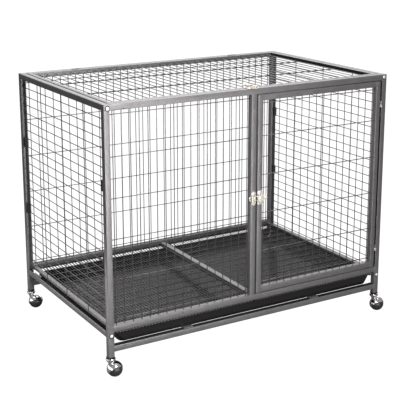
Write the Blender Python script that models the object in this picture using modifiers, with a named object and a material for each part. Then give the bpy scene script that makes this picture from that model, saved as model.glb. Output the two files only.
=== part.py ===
"""A steel dog cage on ball casters, with a hinged front door, a hinged lid and a pull-out tray.

The front and rear panels are welded from 20 mm square tube and wire. The two side panels are bolted
between their posts. X runs along the front, Y from front to back and Z up. The origin is on the floor
under the middle of the cage and its casters. All sizes are in metres.
"""

import math

import bmesh
import bpy
from mathutils import Euler, Matrix, Vector

# The cage's outer sizes, and how far the casters' trail moves its middle off the origin
LENGTH = 1.090
WIDTH = 0.690
HEIGHT = 0.880
CAGE_MIDDLE_X = -0.01375
LEFT = CAGE_MIDDLE_X - LENGTH / 2
RIGHT = CAGE_MIDDLE_X + LENGTH / 2
FRONT = -WIDTH / 2
BACK = WIDTH / 2

# Square tube, and the gap between two pieces that touch
TUBE = 0.020
WALL = 0.0014
CORNER = 0.0016
GAP = 0.0003

# Heights of the rails' lower faces, and of the posts' lower ends
POST_FOOT = 0.074
LOWER_RAIL_Z = 0.089
SIDE_RAIL_Z = 0.1365
REAR_RAIL_Z = 0.151
SILL_Z = 0.155
TOP_RAIL_Z = HEIGHT - TUBE

# Welded wire: the long wires lie in one layer and the cross wires in the next
WIRE_RADIUS = 0.0015
WIRE_PITCH = 0.0302
LAYER_STEP = 0.0034
WELD_STEP = 0.0024
WIRE_DEPTH = 0.0083
CROSS_WIRES = 6
BAY_CROSS_WIRES = (0.847, 0.131)
REAR_CROSS_WIRES = (0.8445, 0.1325)

# Front panel: the middle post stands between the wired bay and the door
DOOR_POST_X = LEFT + 0.527
DOOR_LEFT = LEFT + 0.5525
DOOR_RIGHT = RIGHT - 0.0235
DOOR_BOTTOM = SILL_Z + TUBE + 0.002
DOOR_TOP = TOP_RAIL_Z - 0.0022
STOP_THICKNESS = 0.0018
DOOR_WIRES = 16
DOOR_HINGE_X = RIGHT - 0.02175
DOOR_HINGE_Y = FRONT - 0.0005
DOOR_HINGE_HEIGHTS = (0.249, 0.777)
DOOR_BARREL_RADIUS = 0.0042

# Lid, let into the top frame and hinged at the back
LID_GAP = 0.002
LID_BAR = 0.016
LID_THICKNESS = 0.014
LID_WIRES = 33
LID_CROSS_OFFSETS = (0.240, 0.450)
LID_HINGE_Y = BACK - TUBE - LID_GAP / 2
LID_HINGE_OFFSET = 0.332
LID_BARREL_RADIUS = 0.0036

# Floor grates, side by side under the sill
GRATE_BAR = 0.016
GRATE_BAR_Z = 0.158
GRATE_BAR_THICKNESS = 0.008
GRATE_END_BAR = 0.006
GRATE_WIRE_RADIUS = 0.00175
GRATE_PITCH = 0.0115
GRATE_CROSS_PITCH = 0.0497
GRATE_WIRES = 45
GRATE_CROSS_WIRES = 12

# Tray and the two strips that it slides on
STRIP_WIDTH = 0.035
STRIP_THICKNESS = 0.004
STRIP_OFFSETS = (0.290, 0.800)
TRAY_FLOOR_Z = LOWER_RAIL_Z + TUBE + STRIP_THICKNESS + GAP
TRAY_RIM_Z = 0.149
TRAY_WALL = 0.0022
TRAY_RIM = 0.007

# Slide latches: distances from the fixed member's outer edge, along the bolt
LATCH_HEIGHT = 0.513
LATCH_PLATE_HALF = 0.0240
LATCH_PLATE = 0.0015
BOLT_HALF = 0.008
BOLT_THICKNESS = 0.0045
BOLT_LIFT = 0.0023
BOLT_TIP = 0.0075
BOLT_END = 0.0595
BRIDGE_START = -0.0015
BRIDGE_END = 0.0065

# Where the lid's latch stands: over the middle post
LID_LATCH_X = DOOR_POST_X + TUBE / 2

# Hooded ball casters. Each one swivels freely, and stands as it came to rest in the photograph
BALL_RADIUS = 0.025
CASTER_TRAIL = 0.016
CASTER_TURNS = {"front_left": 13.0, "front_right": 1.5, "rear_left": -8.0, "rear_right": 4.0}
AXLE_TILT = math.radians(40.0)
HOOD_RADIUS = 0.0265
HOOD_WALL = 0.0012
STEM_RADIUS = 0.004
AXLE_RADIUS = 0.002
SOCKET_HALF = 0.0102
SOCKET_FLANGE = 0.0055
PLUG_HALF = 0.0081
PLUG_LENGTH = 0.040
TURN_STEPS = 16

# Colour, metallic value and roughness of each finish
GREY_PAINT = ((0.27, 0.265, 0.265), 0.45, 0.42)
BLACK_PLASTIC = ((0.012, 0.012, 0.013), 0.0, 0.28)
SOCKET_PLASTIC = ((0.010, 0.010, 0.010), 0.0, 0.45)
NICKEL = ((0.62, 0.59, 0.54), 1.0, 0.30)
CHROME = ((0.72, 0.72, 0.72), 1.0, 0.10)
DARK_RUBBER = ((0.035, 0.034, 0.034), 0.0, 0.38)
ZINC_STEEL = ((0.50, 0.50, 0.50), 1.0, 0.35)


def clear_scene():
    """Remove every object, so that the scene holds only the cage."""
    for obj in list(bpy.data.objects):
        bpy.data.objects.remove(obj)


def new_collection(name):
    collection = bpy.data.collections.new(name)
    bpy.context.scene.collection.children.link(collection)
    return collection


clear_scene()
CAGE = new_collection("animal_cage")
CUTTERS = new_collection("cutters")
CUTTERS.hide_render = True


def paint(obj, finish):
    """Give an object a material of its own."""
    colour, metallic, roughness = finish
    material = bpy.data.materials.new(obj.name)
    material.use_nodes = True
    shader = material.node_tree.nodes["Principled BSDF"]
    shader.inputs["Base Color"].default_value = (*colour, 1.0)
    shader.inputs["Metallic"].default_value = metallic
    shader.inputs["Roughness"].default_value = roughness
    obj.data.materials.append(material)


def add_object(name, mesh, finish=None):
    """Put a mesh in the cage, or among the cutters where it has no finish."""
    obj = bpy.data.objects.new(name, mesh)
    if finish is None:
        CUTTERS.objects.link(obj)
        obj.hide_render = True
        obj.display_type = "WIRE"
    else:
        CAGE.objects.link(obj)
        paint(obj, finish)
    return obj


def block(name, x, y, z, finish=None, corner=0.0):
    """A rectangular solid between the limits given for each axis, with rounded edges if wanted."""
    mesh = bpy.data.meshes.new(name)
    form = bmesh.new()
    bmesh.ops.create_cube(form, size=1.0)
    bmesh.ops.scale(form, vec=(x[1] - x[0], y[1] - y[0], z[1] - z[0]), verts=form.verts)
    form.to_mesh(mesh)
    form.free()
    obj = add_object(name, mesh, finish)
    obj.location = ((x[0] + x[1]) / 2, (y[0] + y[1]) / 2, (z[0] + z[1]) / 2)
    if corner:
        bevel = obj.modifiers.new("rounded edges", "BEVEL")
        bevel.width = corner
        bevel.segments = 1
    return obj


def boolean(obj, other, operation):
    modifier = obj.modifiers.new(operation.lower(), "BOOLEAN")
    modifier.operation = operation
    modifier.object = other
    modifier.solver = "EXACT"


def cut(obj, cutter):
    boolean(obj, cutter, "DIFFERENCE")


def fuse(obj, other):
    boolean(obj, other, "UNION")


def rods(name, runs, radius, finish=None, sides=4):
    """Straight wires as one mesh: a curve with a run for each wire, its caps welded."""
    curve = bpy.data.curves.new(name, "CURVE")
    curve.dimensions = "3D"
    curve.bevel_depth = radius
    curve.bevel_resolution = (sides - 4) // 2
    curve.use_fill_caps = True
    for run in runs:
        spline = curve.splines.new("POLY")
        spline.points.add(len(run) - 1)
        for point, place in zip(spline.points, run):
            point.co = (*place, 1.0)
    holder = bpy.data.objects.new(name, curve)
    CUTTERS.objects.link(holder)
    graph = bpy.context.evaluated_depsgraph_get()
    mesh = bpy.data.meshes.new_from_object(holder.evaluated_get(graph))
    bpy.data.objects.remove(holder)
    form = bmesh.new()
    form.from_mesh(mesh)
    bmesh.ops.remove_doubles(form, verts=form.verts, dist=1e-6)
    bmesh.ops.recalc_face_normals(form, faces=form.faces)
    form.to_mesh(mesh)
    form.free()
    return add_object(name, mesh, finish)


def cylinder(name, start, end, radius, finish=None, sides=16):
    """A round solid from one point to another."""
    start = Vector(start)
    along = Vector(end) - start
    mesh = bpy.data.meshes.new(name)
    form = bmesh.new()
    bmesh.ops.create_cone(
        form, cap_ends=True, segments=sides, radius1=radius, radius2=radius, depth=along.length
    )
    form.to_mesh(mesh)
    form.free()
    mesh.shade_smooth()
    mesh.set_sharp_from_angle(angle=math.radians(40))
    obj = add_object(name, mesh, finish)
    obj.location = start + along / 2
    obj.rotation_euler = along.to_track_quat("Z", "Y").to_euler()
    return obj


def turned(name, profile, place, lean=(0.0, 0.0, 0.0), finish=None):
    """A turned solid: a profile of radii and heights, run down its outer side, on a Screw modifier."""
    mesh = bpy.data.meshes.new(name)
    points = [(radius, 0.0, height) for radius, height in profile]
    links = [(i, i + 1) for i in range(len(points) - 1)]
    mesh.from_pydata(points, links, [])
    obj = add_object(name, mesh, finish)
    obj.location = place
    obj.rotation_euler = lean
    screw = obj.modifiers.new("turn", "SCREW")
    screw.axis = "Z"
    screw.angle = 2 * math.pi
    screw.steps = TURN_STEPS
    screw.render_steps = TURN_STEPS
    screw.use_merge_vertices = True
    screw.merge_threshold = 0.00001
    screw.use_smooth_shade = True
    return obj


def arc(radius, start, end, steps):
    """Points of a circle about the profile's origin, between two angles above the rim plane."""
    angles = [math.radians(start + (end - start) * i / steps) for i in range(steps + 1)]
    return [(radius * math.cos(angle), radius * math.sin(angle)) for angle in angles]


def empty(name, place, parent=None):
    """A joint's axis, which carries the pieces that move about it."""
    obj = bpy.data.objects.new(name, None)
    CAGE.objects.link(obj)
    obj.location = place
    obj.empty_display_size = 0.03
    if parent:
        carry(parent, obj)
    return obj


def carry(parent, *objects):
    """Parent objects and leave them where they are."""
    bpy.context.view_layer.update()
    for obj in objects:
        obj.parent = parent
        obj.matrix_parent_inverse = parent.matrix_world.inverted()


def tube(name, x, y, z, along):
    """A square tube with open ends, or with a closed top where it stands upright."""
    limits = {"x": x, "y": y, "z": z}
    outer = block(name, x, y, z, GREY_PAINT, CORNER)
    bore = {}
    for axis, (low, high) in limits.items():
        bore[axis] = (low - 0.01, high + 0.01) if axis == along else (low + WALL, high - WALL)
    if along == "z":
        bore["z"] = (z[0] - 0.01, z[1] - WALL)
    cut(outer, block(name + "_bore", bore["x"], bore["y"], bore["z"]))
    return outer


def make_posts():
    """Four corner posts. Their open lower ends take the casters' sockets."""
    posts = {}
    for side, x in (("left", LEFT), ("right", RIGHT - TUBE)):
        for place, y in (("front", FRONT), ("rear", BACK - TUBE)):
            name = f"post_{place}_{side}"
            posts[name] = tube(name, (x, x + TUBE), (y, y + TUBE), (POST_FOOT, HEIGHT), "z")
    return posts


def make_cross_rails():
    """The front and rear panels' rails, which run along X between the posts."""
    span = (LEFT + TUBE + GAP, RIGHT - TUBE - GAP)
    front = (FRONT, FRONT + TUBE)
    back = (BACK - TUBE, BACK)
    places = {
        "front_top_rail": (front, TOP_RAIL_Z),
        "front_sill": (front, SILL_Z),
        "front_lower_rail": (front, LOWER_RAIL_Z),
        "rear_top_rail": (back, TOP_RAIL_Z),
        "rear_bottom_rail": (back, REAR_RAIL_Z),
        "rear_lower_rail": (back, LOWER_RAIL_Z),
    }
    return {name: tube(name, span, y, (z, z + TUBE), "x") for name, (y, z) in places.items()}


def make_door_post():
    """The upright between the wired bay and the door, open at both ends against the rails."""
    x = (DOOR_POST_X, DOOR_POST_X + TUBE)
    y = (FRONT, FRONT + TUBE)
    z = (SILL_Z + TUBE + GAP, TOP_RAIL_Z - GAP)
    post = block("door_post", x, y, z, GREY_PAINT, CORNER)
    inside = [(low + WALL, high - WALL) for low, high in (x, y)]
    cut(post, block("door_post_bore", *inside, (z[0] - 0.01, z[1] + 0.01)))


def make_side_rails():
    """The side panels' top tubes, and their bottom angles with a plug at each end for the bolts."""
    span = (FRONT + TUBE + GAP, BACK - TUBE - GAP)
    for side, outer, inward in (("left", LEFT, 1), ("right", RIGHT, -1)):
        across = sorted((outer, outer + inward * TUBE))
        tube(f"{side}_top_rail", across, span, (TOP_RAIL_Z, HEIGHT), "y")
        make_side_angle(f"{side}_bottom_rail", outer, inward, span)


def make_side_angle(name, outer, inward, span):
    """A steel angle whose upright leg is the outer face."""
    inner = outer + inward * TUBE
    web = outer + inward * WALL
    floor = SIDE_RAIL_Z + WALL
    top = SIDE_RAIL_Z + TUBE
    angle = block(name, sorted((outer, inner)), span, (SIDE_RAIL_Z, top), GREY_PAINT)
    plug = 0.012
    room = sorted((web, inner + inward * 0.01))
    cut(angle, block(name + "_room", room, (span[0] + plug, span[1] - plug), (floor, top + 0.01)))


def wire_lines(first, count, pitch):
    return [first + pitch * i for i in range(count)]


def grid_grille(name, x_first, count, pitch, y, span_x, span_z, cross_heights):
    """Upright wires fused to cross wires at the top and bottom, and the rest to the end wires.

    The upper and lower cross wires and the two end wires are pressed half a wire into the others.
    """
    xs = wire_lines(x_first, count, pitch)
    end_y = y + LAYER_STEP - WELD_STEP
    uprights = [((x, y, span_z[0]), (x, y, span_z[1])) for x in xs[1:-1]]
    ends = [((x, end_y, span_z[0]), (x, end_y, span_z[1])) for x in (xs[0], xs[-1])]
    grille = rods(name, uprights + ends, WIRE_RADIUS, GREY_PAINT)
    edge = (cross_heights[0], cross_heights[-1])
    crosses = []
    for z in cross_heights:
        depth = y + (WELD_STEP if z in edge else LAYER_STEP)
        crosses.append(((span_x[0], depth, z), (span_x[1], depth, z)))
    fuse(grille, rods(name + "_cross_wires", crosses, WIRE_RADIUS))
    return grille


def make_panel_grilles():
    """The welded wire of the front bay and of the rear panel."""
    bay_heights, rear_heights = [
        wire_lines(top, CROSS_WIRES, -step) for top, step in (BAY_CROSS_WIRES, REAR_CROSS_WIRES)
    ]
    grid_grille(
        "front_bay_grille",
        LEFT + 0.0316,
        17,
        WIRE_PITCH,
        FRONT + WIRE_DEPTH,
        (LEFT + TUBE + GAP, DOOR_POST_X - GAP),
        (SILL_Z + TUBE + GAP, TOP_RAIL_Z - GAP),
        bay_heights,
    )
    rail_top = REAR_RAIL_Z + TUBE
    grid_grille(
        "rear_grille",
        LEFT + 0.0333,
        35,
        0.0301,
        BACK - TUBE + WIRE_DEPTH,
        (LEFT + TUBE + GAP, RIGHT - TUBE - GAP),
        (rail_top + GAP, TOP_RAIL_Z - GAP),
        rear_heights + [rail_top + GAP + 1.5 * WIRE_RADIUS],
    )


def make_side_grille(side, outer, inward):
    """Two flat stiles, 23 wires welded on their outer faces and three uprights behind the wires."""
    name = f"{side}_side_grille"
    low = SIDE_RAIL_Z + TUBE + GAP
    high = TOP_RAIL_Z - GAP
    stile = sorted((outer + inward * 0.0095, outer + inward * 0.0125))
    front = FRONT + TUBE + 0.002
    back = BACK - TUBE - 0.002
    grille = block(name, stile, (front, front + 0.016), (low, high), GREY_PAINT)
    rear_stile = block(name + "_rear_stile", stile, (back - 0.016, back), (low, high))
    wire_x = outer + inward * 0.0087
    edge_x = outer + inward * 0.0094
    upright_x = outer + inward * 0.0120
    heights = wire_lines(0.833 - 22 * 0.03025, 23, 0.03025)
    wires = []
    for z in heights:
        x = edge_x if z in (heights[0], heights[-1]) else wire_x
        wires.append(((x, front + 0.002, z), (x, back - 0.002, z)))
    quarter = WIDTH / 4
    uprights = [
        ((upright_x, FRONT + quarter * i, low), (upright_x, FRONT + quarter * i, high))
        for i in (1, 2, 3)
    ]
    fuse(grille, rods(name + "_wires", wires, WIRE_RADIUS))
    fuse(grille, rear_stile)
    fuse(grille, rods(name + "_uprights", uprights, WIRE_RADIUS))


def ring_frame(name, x, y, z, bar, flat_axis):
    """A welded frame of tube round an opening, hollow, with drain holes in one face."""
    frame = block(name, x, y, z, GREY_PAINT, CORNER)
    limits = dict(zip("xyz", (x, y, z)))
    outer_bore = [(low + WALL, high - WALL) for low, high in limits.values()]
    opening = {}
    inner_bore = {}
    for axis, (low, high) in limits.items():
        if axis == flat_axis:
            opening[axis] = (low - 0.01, high + 0.01)
            inner_bore[axis] = (low - 0.02, high + 0.02)
        else:
            opening[axis] = (low + bar, high - bar)
            inner_bore[axis] = (low + bar - WALL, high - bar + WALL)
    bore = block(name + "_bore", *outer_bore)
    cut(bore, block(name + "_bore_core", *inner_bore.values()))
    cut(frame, block(name + "_opening", *opening.values()))
    cut(frame, bore)
    return frame


def make_door_stops():
    """Two flat strips behind the door's edges, which it closes against. They also cover its gaps."""
    y = (FRONT + TUBE + GAP, FRONT + TUBE + GAP + STOP_THICKNESS)
    z = (SILL_Z + TUBE + 0.0015, TOP_RAIL_Z - 0.0015)
    latch_side = (DOOR_POST_X + 0.008, DOOR_LEFT + 0.010)
    hinge_side = (DOOR_RIGHT - 0.010, RIGHT - 0.0145)
    block("door_stop_latch_side", latch_side, y, z, GREY_PAINT)
    block("door_stop_hinge_side", hinge_side, y, z, GREY_PAINT)


def make_door():
    """The door leaf: a tube frame with upright and cross wires let into it."""
    door = ring_frame(
        "door_leaf", (DOOR_LEFT, DOOR_RIGHT), (FRONT, FRONT + TUBE), (DOOR_BOTTOM, DOOR_TOP), TUBE, "y"
    )
    for x in (DOOR_LEFT + 0.06, DOOR_RIGHT - 0.06):
        start = (x, FRONT + TUBE / 2, DOOR_BOTTOM - 0.002)
        end = (x, FRONT + TUBE / 2, DOOR_BOTTOM + 0.004)
        drain = cylinder("door_drain_cutter", start, end, 0.002, sides=8)
        cut(door, drain)
    seat = TUBE - WALL / 2
    y = FRONT + WIRE_DEPTH
    low = DOOR_BOTTOM + seat
    high = DOOR_TOP - seat
    xs = wire_lines(LEFT + 0.582, DOOR_WIRES, WIRE_PITCH)
    uprights = [((x, y, low), (x, y, high)) for x in xs]
    y += LAYER_STEP
    heights = [0.828, 0.212] + [0.718 - 0.1316 * i for i in range(4)]
    crosses = [((DOOR_LEFT + seat, y, z), (DOOR_RIGHT - seat, y, z)) for z in heights]
    fuse(door, rods("door_wires", uprights + crosses, WIRE_RADIUS))
    return door


def make_lid():
    """The lid: a flat tube frame let into the top, with wires from front to back and two cross wires."""
    x = (LEFT + TUBE + LID_GAP, RIGHT - TUBE - LID_GAP)
    y = (FRONT + TUBE + LID_GAP, BACK - TUBE - LID_GAP)
    z = (HEIGHT - LID_THICKNESS, HEIGHT)
    lid = ring_frame("lid_leaf", x, y, z, LID_BAR, "z")
    for drain_x in (x[0] + 0.05, x[1] - 0.05):
        drain_y = y[0] + LID_BAR / 2
        start = (drain_x, drain_y, z[0] - 0.002)
        end = (drain_x, drain_y, z[0] + 0.004)
        drain = cylinder("lid_drain_cutter", start, end, 0.002, sides=8)
        cut(lid, drain)
    seat = LID_BAR - WALL / 2
    level = (z[0] + z[1]) / 2
    long_wires = [
        ((wire_x, y[0] + seat, level), (wire_x, y[1] - seat, level))
        for wire_x in wire_lines(LEFT + 0.0634, LID_WIRES, 0.0301)
    ]
    level -= LAYER_STEP
    cross_wires = [
        ((x[0] + seat, wire_y, level), (x[1] - seat, wire_y, level))
        for wire_y in (FRONT + offset for offset in LID_CROSS_OFFSETS)
    ]
    fuse(lid, rods("lid_wires", long_wires + cross_wires, WIRE_RADIUS))
    return lid


def make_floor_grate(side, start, end):
    """A removable floor panel: two side bars, two end bars under them and a mesh of fine wire."""
    name = f"floor_grate_{side}"
    y = (FRONT + TUBE + 0.001, BACK - TUBE - 0.001)
    bar_top = GRATE_BAR_Z + GRATE_BAR_THICKNESS
    wire_z = SILL_Z - GAP - GRATE_WIRE_RADIUS
    end_low = wire_z - GRATE_WIRE_RADIUS - 0.0005
    grate = block(name, (start, start + GRATE_BAR), y, (GRATE_BAR_Z, bar_top), GREY_PAINT)
    fuse(grate, block(name + "_far_bar", (end - GRATE_BAR, end), y, (GRATE_BAR_Z, bar_top)))
    for place, low in (("front", y[0]), ("rear", y[1] - GRATE_END_BAR)):
        reach = (low, low + GRATE_END_BAR)
        height = (end_low, GRATE_BAR_Z + 0.0006)
        fuse(grate, block(f"{name}_{place}_bar", (start + GAP, end - GAP), reach, height))
    margin = (end - start - GRATE_PITCH * (GRATE_WIRES - 1)) / 2
    seat = GRATE_END_BAR / 2
    long_wires = [
        ((x, y[0] + seat, wire_z), (x, y[1] - seat, wire_z))
        for x in wire_lines(start + margin, GRATE_WIRES, GRATE_PITCH)
    ]
    fuse(grate, rods(name + "_wires", long_wires, GRATE_WIRE_RADIUS))
    cross_z = GRATE_BAR_Z + 0.0007 - GRATE_WIRE_RADIUS
    cross_wires = [
        ((start + 0.002, cross_y, cross_z), (end - 0.002, cross_y, cross_z))
        for cross_y in wire_lines(FRONT + 0.0737, GRATE_CROSS_WIRES, GRATE_CROSS_PITCH)
    ]
    fuse(grate, rods(name + "_cross_wires", cross_wires, GRATE_WIRE_RADIUS))


def make_tray_strips():
    """Two flat strips across the lower rails, on which the tray slides."""
    z = LOWER_RAIL_Z + TUBE + GAP
    for side, offset in zip(("left", "right"), STRIP_OFFSETS):
        x = LEFT + offset
        block(
            f"tray_support_{side}",
            (x - STRIP_WIDTH / 2, x + STRIP_WIDTH / 2),
            (FRONT + 0.002, BACK - 0.002),
            (z, z + STRIP_THICKNESS - GAP),
            GREY_PAINT,
        )


def tray_shell(name):
    """A tapered open box with round corners and a turned-out rim, all of one thickness."""
    low = (LEFT + 0.048, FRONT + 0.016)
    high = (LEFT + 0.0295, FRONT + 0.0148)
    floor_size = (LENGTH - 0.096, 0.616)
    top_size = (LENGTH - 0.059, 0.6185)
    mesh = bpy.data.meshes.new(name)
    form = bmesh.new()
    bmesh.ops.create_cube(form, size=1.0)
    corners = [edge for edge in form.edges if edge.verts[0].co.z != edge.verts[1].co.z]
    under_rim = TRAY_RIM_Z - TRAY_WALL
    for vert in form.verts:
        upper = vert.co.z > 0
        place, size = (high, top_size) if upper else (low, floor_size)
        vert.co.x = place[0] + size[0] * (vert.co.x + 0.5)
        vert.co.y = place[1] + size[1] * (vert.co.y + 0.5)
        vert.co.z = under_rim if upper else TRAY_FLOOR_Z
    top = max(form.faces, key=lambda face: face.calc_center_median().z)
    bmesh.ops.delete(form, geom=[top], context="FACES_ONLY")
    bmesh.ops.bevel(form, geom=corners, offset=0.018, segments=3, affect="EDGES", profile=0.5)
    rim = [edge for edge in form.edges if edge.is_boundary]
    turned_out = bmesh.ops.extrude_edge_only(form, edges=rim)["geom"]
    centre = Vector((high[0] + top_size[0] / 2, high[1] + top_size[1] / 2, under_rim))
    grow = ((top_size[0] + 2 * TRAY_RIM) / top_size[0], (top_size[1] + 2 * TRAY_RIM) / top_size[1], 1.0)
    rim_verts = [item for item in turned_out if isinstance(item, bmesh.types.BMVert)]
    bmesh.ops.scale(form, vec=grow, verts=rim_verts, space=Matrix.Translation(-centre))
    bmesh.ops.recalc_face_normals(form, faces=form.faces)
    lowest = min(form.faces, key=lambda face: face.calc_center_median().z)
    if lowest.normal.z > 0:
        bmesh.ops.reverse_faces(form, faces=form.faces)
    form.to_mesh(mesh)
    form.free()
    shell = add_object(name, mesh, BLACK_PLASTIC)
    wall = shell.modifiers.new("wall", "SOLIDIFY")
    wall.thickness = TRAY_WALL
    wall.offset = -1.0
    return shell


def make_tray():
    """The pull-out tray, one moulding in two nodes: its flat floor, and its walls with their rim."""
    span = [(LEFT, RIGHT), (FRONT - 0.02, BACK)]
    level = TRAY_FLOOR_Z + TRAY_WALL
    tray_floor = tray_shell("tray_floor")
    cut(tray_floor, block("tray_walls_cutter", *span, (level - 0.00005, level + 0.1)))
    walls = tray_shell("tray_walls")
    cut(walls, block("tray_floor_cutter", *span, (level - 0.1, level + GAP)))
    runner = empty("tray_slide", (CAGE_MIDDLE_X, FRONT, TRAY_FLOOR_Z))
    carry(runner, tray_floor, walls)


def make_hinge(names, centre, along, half, radius):
    """A barrel hinge: the fixed half carries the pin, and the leaf's sleeve turns on it."""
    centre = Vector(centre)
    along = Vector(along)
    pin = cylinder(names[0], centre - along * half, centre - along * GAP, radius, GREY_PAINT)
    stub_ends = (centre - along * half / 2, centre + along * half * 0.7)
    fuse(pin, cylinder(names[0] + "_stub", *stub_ends, radius / 2))
    sleeve = cylinder(names[1], centre + along * GAP, centre + along * half, radius, GREY_PAINT)
    bore = radius / 2 + 0.0003
    bore_ends = (centre - along * half, centre + along * half * 0.8)
    cut(sleeve, cylinder(names[1] + "_bore", *bore_ends, bore))
    return sleeve


def notch(name, centre, along, half, radius, *objects):
    """Let a hinge barrel into the corners of the tubes beside it."""
    centre = Vector(centre)
    reach = Vector(along) * (half + 0.0005)
    cutter = cylinder(name, centre - reach, centre + reach, radius + 0.0004)
    for obj in objects:
        cut(obj, cutter)


def make_door_hinges(door, post):
    """Two barrels in the gap between the door and the right front post."""
    up = (0.0, 0.0, 1.0)
    sleeves = []
    for place, height in zip(("lower", "upper"), DOOR_HINGE_HEIGHTS):
        centre = (DOOR_HINGE_X, DOOR_HINGE_Y, height)
        names = (f"door_hinge_{place}_pin", f"door_hinge_{place}_sleeve")
        notch(f"door_{place}_notch", centre, up, 0.011, DOOR_BARREL_RADIUS, door, post)
        sleeves.append(make_hinge(names, centre, up, 0.011, DOOR_BARREL_RADIUS))
    return sleeves


def make_lid_hinges(lid, rail):
    """Two barrels in the gap between the lid and the rear top rail."""
    along = (1.0, 0.0, 0.0)
    sleeves = []
    for side, sign in (("left", -1), ("right", 1)):
        centre = (CAGE_MIDDLE_X + sign * LID_HINGE_OFFSET, LID_HINGE_Y, HEIGHT)
        names = (f"lid_hinge_{side}_pin", f"lid_hinge_{side}_sleeve")
        notch(f"lid_{side}_notch", centre, along, 0.018, LID_BARREL_RADIUS, lid, rail)
        sleeves.append(make_hinge(names, centre, along, 0.018, LID_BARREL_RADIUS))
    return sleeves


def latch_block(name, turn, along, out, across, finish=None):
    """A block in a latch's own frame: along the bolt, out from the tube and across the bolt."""
    obj = block(name, along, out, across, finish)
    obj.matrix_world = turn @ Matrix.Translation(obj.location)
    return obj


def latch_disc(name, turn, along, out, across, radius, finish=None):
    """A round plate or hole whose axis points out from the tube."""
    obj = cylinder(name, (along, out[0], across), (along, out[1], across), radius, sides=20, finish=finish)
    obj.matrix_world = turn @ obj.matrix_basis
    return obj


def make_latch(name, turn, base_start, base_end):
    """A slide latch of three castings: a keeper with a bridge, a guide and the bolt.

    At rest the bolt stops just short of the bridge, so that the leaf can swing. It slides in under the
    bridge to lock, and back to clear the fixed tube. The keeper's ear has a hole for a padlock.
    """
    plate = (GAP, GAP + LATCH_PLATE)
    half = LATCH_PLATE_HALF
    round_end = 0.0090
    straight = (round_end - half, half - round_end)
    keeper = latch_block(f"{name}_keeper", turn, (0.0013, 0.0187), plate, straight, NICKEL)
    # Each disc is a little thinner than the plate, so that no two faces lie in one plane.
    end_plate = (plate[0] + 0.0001, plate[1] - 0.0001)
    ear_plate = (plate[0] + 0.0002, plate[1] - 0.0002)
    for across in straight:
        fuse(keeper, latch_disc(f"{name}_end", turn, 0.0100, end_plate, across, round_end))
    fuse(keeper, latch_disc(f"{name}_ear", turn, 0.0030, ear_plate, 0.0, 0.0112))
    out = (GAP + LATCH_PLATE / 2, BOLT_LIFT + BOLT_THICKNESS + 0.0024)
    fuse(keeper, latch_block(f"{name}_bridge", turn, (BRIDGE_START, BRIDGE_END), out, (-0.012, 0.012)))
    room = (plate[1], BOLT_LIFT + BOLT_THICKNESS + 0.0006)
    slot = BOLT_HALF + 0.0009
    cut(keeper, latch_block(f"{name}_slot", turn, (-0.02, 0.02), room, (-slot, slot)))
    cut(keeper, latch_disc(f"{name}_padlock_hole", turn, -0.0047, (-0.01, 0.01), 0.0, 0.0024))

    guide = latch_block(f"{name}_guide", turn, (base_start, base_end), plate, (-half, half), NICKEL)
    cover = (base_start + 0.001, base_end - 0.0005)
    fuse(guide, latch_block(f"{name}_cover", turn, cover, out, (-0.0118, 0.0118)))
    room = (BOLT_LIFT - 0.0004, BOLT_LIFT + BOLT_THICKNESS + 0.0004)
    slot = BOLT_HALF + 0.0004
    through = (base_start - 0.01, base_end + 0.01)
    cut(guide, latch_block(f"{name}_guide_slot", turn, through, room, (-slot, slot)))
    middle = (base_start + base_end) / 2
    for along in (middle - 0.0045, middle + 0.0045):
        rib = (along - 0.0018, along + 0.0018)
        height = (out[1] - 0.0005, out[1] + 0.0012)
        fuse(guide, latch_block(f"{name}_rib", turn, rib, height, (-0.004, 0.004)))

    thickness = (BOLT_LIFT, BOLT_LIFT + BOLT_THICKNESS)
    bar = (BOLT_TIP + BOLT_HALF, BOLT_END)
    bolt = latch_block(f"{name}_bolt", turn, bar, thickness, (-BOLT_HALF, BOLT_HALF), NICKEL)
    fuse(bolt, latch_disc(f"{name}_tip", turn, BOLT_TIP + BOLT_HALF, thickness, 0.0, BOLT_HALF))
    knob = (BOLT_LIFT + BOLT_THICKNESS / 2, 0.0115)
    fuse(bolt, latch_disc(f"{name}_knob", turn, BOLT_END - 0.0040, knob, 0.0, 0.0036))
    return keeper, guide, bolt


def make_caster(corner, x, y):
    """A ball caster: socket, hooded swivel with its stem, half-ball wheel and tilted axle."""
    make_caster_socket(corner, x, y)
    turn = math.radians(CASTER_TURNS[corner])
    centre = Vector((x + CASTER_TRAIL * math.cos(turn), y + CASTER_TRAIL * math.sin(turn), BALL_RADIUS))
    lean = (AXLE_TILT - math.pi / 2, 0.0, turn)
    swivel = empty(f"caster_{corner}_swivel", (x, y, POST_FOOT))
    hood = make_caster_hood(corner, x, y, centre, lean)
    pole = Euler(lean).to_matrix() @ Vector((0.0, 0.0, 1.0))
    axle_ends = (centre - pole * 0.0175, centre + pole * 0.0195)
    axle = cylinder(f"caster_{corner}_axle", *axle_ends, AXLE_RADIUS, ZINC_STEEL, sides=10)
    spin = empty(f"caster_{corner}_spin", centre, swivel)
    wheel = turned(f"caster_{corner}_wheel", wheel_profile(), centre, lean, DARK_RUBBER)
    carry(swivel, hood, axle)
    carry(spin, wheel)


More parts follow.
